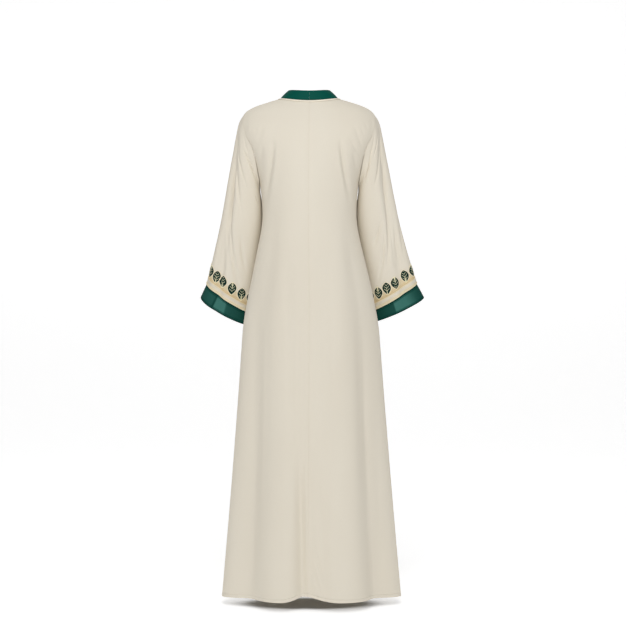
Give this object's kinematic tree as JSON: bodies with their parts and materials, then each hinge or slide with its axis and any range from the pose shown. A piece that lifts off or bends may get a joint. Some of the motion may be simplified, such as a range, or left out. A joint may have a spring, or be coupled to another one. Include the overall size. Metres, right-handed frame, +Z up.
{
  "type": "kaftan",
  "caption": "Full-length worn kaftan in cream crepe with flared sleeves, a green satin neck band and sheer green cuffs under embroidered leaves.",
  "frame": {"origin": "centre of the neck, level with the tops of the shoulder seams beside the neck", "axes": "+Z up, +Y out of the wearer's back, +X to the wearer's left"},
  "size_m": [0.68, 0.3161, 1.5161],
  "materials": {
    "crepe": "matte heavy crepe, cream",
    "organza": "sheer crisp organza, bottle green",
    "satin": "satin with a soft sheen, bottle green",
    "cream_trim": "silky cream piping and cord",
    "braid": "silvery cream woven braid"
  },
  "bodies": {
    "root": {"front": "crepe", "back_left": "crepe", "back_right": "crepe", "sleeve_left": "crepe", "sleeve_right": "crepe", "cuff_band_left": "organza", "cuff_band_right": "organza", "cuff_braid_left": "braid", "cuff_braid_right": "braid", "cuff_cord_left": "cream_trim", "cuff_cord_right": "cream_trim", "neck_band_left": "satin", "neck_band_right": "satin", "neck_piping_left": "cream_trim", "neck_piping_right": "cream_trim"}
  },
  "joints": []
}
